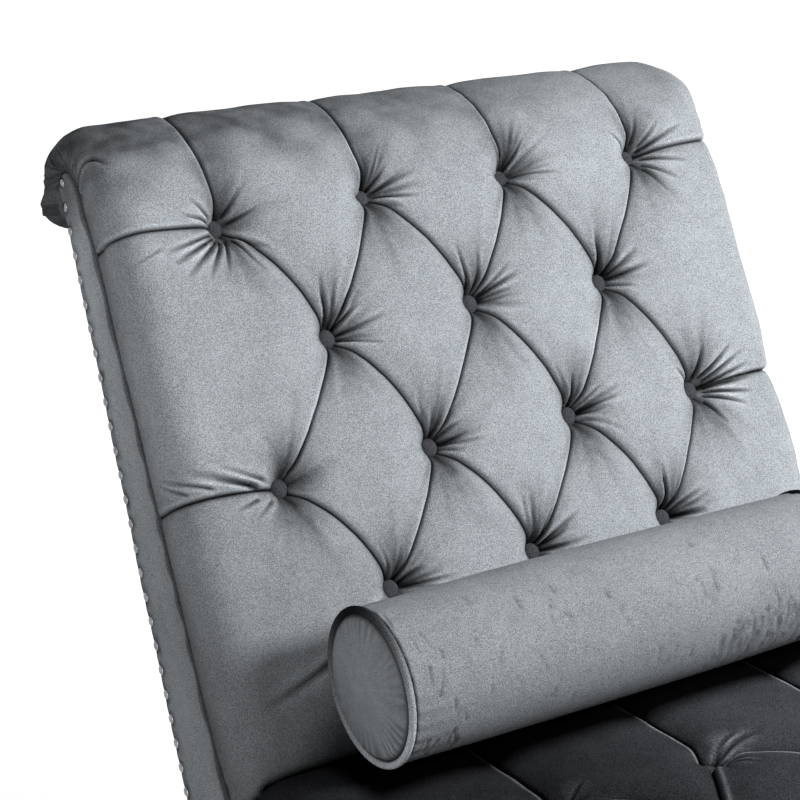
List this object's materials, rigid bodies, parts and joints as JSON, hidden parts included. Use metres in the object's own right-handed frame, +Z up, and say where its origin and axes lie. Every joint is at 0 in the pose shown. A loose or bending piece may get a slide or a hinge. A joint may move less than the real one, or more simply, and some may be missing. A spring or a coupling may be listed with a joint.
{
  "type": "fainting couch",
  "caption": "Armless velvet chaise with a reclined scroll back, deep button tufting, nailhead side bands, tapered feet and a loose bolster.",
  "frame": {"origin": "on the floor, under the centre of the couch's bounding box", "axes": "+Z up, +Y from the foot end towards the scroll back, +X across the couch; right is +X for someone who looks from the foot end towards the back"},
  "size_m": [0.639, 1.5586, 0.8625],
  "materials": {
    "velvet_grey": "matte",
    "velvet_charcoal": "matte",
    "foam": "matte",
    "frame_timber": "matte",
    "foot_wood": "satin",
    "plate_steel": "satin",
    "webbing": "matte",
    "dust_cloth": "matte"
  },
  "bodies": {
    "couch": {"back_cover": "velvet_grey", "side_band_left": "velvet_grey", "side_band_right": "velvet_grey", "outside_back_panel": "velvet_grey", "back_button_1": "velvet_grey", "back_button_2": "velvet_grey", "back_button_3": "velvet_grey", "back_button_4": "velvet_grey", "back_button_5": "velvet_grey", "back_button_6": "velvet_grey", "back_button_7": "velvet_grey", "back_button_8": "velvet_grey", "back_button_9": "velvet_grey", "back_button_10": "velvet_grey", "back_button_11": "velvet_grey", "back_button_12": "velvet_grey", "back_button_13": "velvet_grey", "back_button_14": "velvet_grey", "seat_cover": "velvet_charcoal", "back_foam": "foam", "seat_foam": "foam", "roll_foam": "foam", "side_panel_left": "frame_timber", "side_panel_right": "frame_timber", "top_rail": "frame_timber", "back_lower_rail": "frame_timber", "seat_back_rail": "frame_timber", "knee_rail": "frame_timber", "front_apron": "frame_timber", "rear_rail": "frame_timber", "roll_pole": "frame_timber", "seat_cross_rail": "frame_timber", "leg_block_front_left": "frame_timber", "leg_block_front_right": "frame_timber", "leg_block_rear_left": "frame_timber", "leg_block_rear_right": "frame_timber", "foot_front_left": "foot_wood", "foot_front_right": "foot_wood", "foot_rear_left": "foot_wood", "foot_rear_right": "foot_wood", "mounting_plate_front_left": "plate_steel", "mounting_plate_front_right": "plate_steel", "mounting_plate_rear_left": "plate_steel", "mounting_plate_rear_right": "plate_steel", "back_web_1": "webbing", "back_web_2": "webbing", "back_web_3": "webbing", "seat_web_1": "webbing", "seat_web_2": "webbing", "seat_web_3": "webbing", "seat_web_4": "webbing", "seat_web_5": "webbing", "seat_web_6": "webbing", "dust_cover": "dust_cloth"},
    "bolster": {"bolster_cover": "velvet_grey", "bolster_piping_left": "velvet_grey", "bolster_piping_right": "velvet_grey", "bolster_end_left": "velvet_grey", "bolster_end_right": "velvet_grey", "bolster_core": "foam"}
  },
  "joints": [
    {"name": "bolster_lift", "type": "slide", "parent": "couch", "child": "bolster", "axis": [0, 0, 1], "range_m": [0, 0.3]}
  ]
}
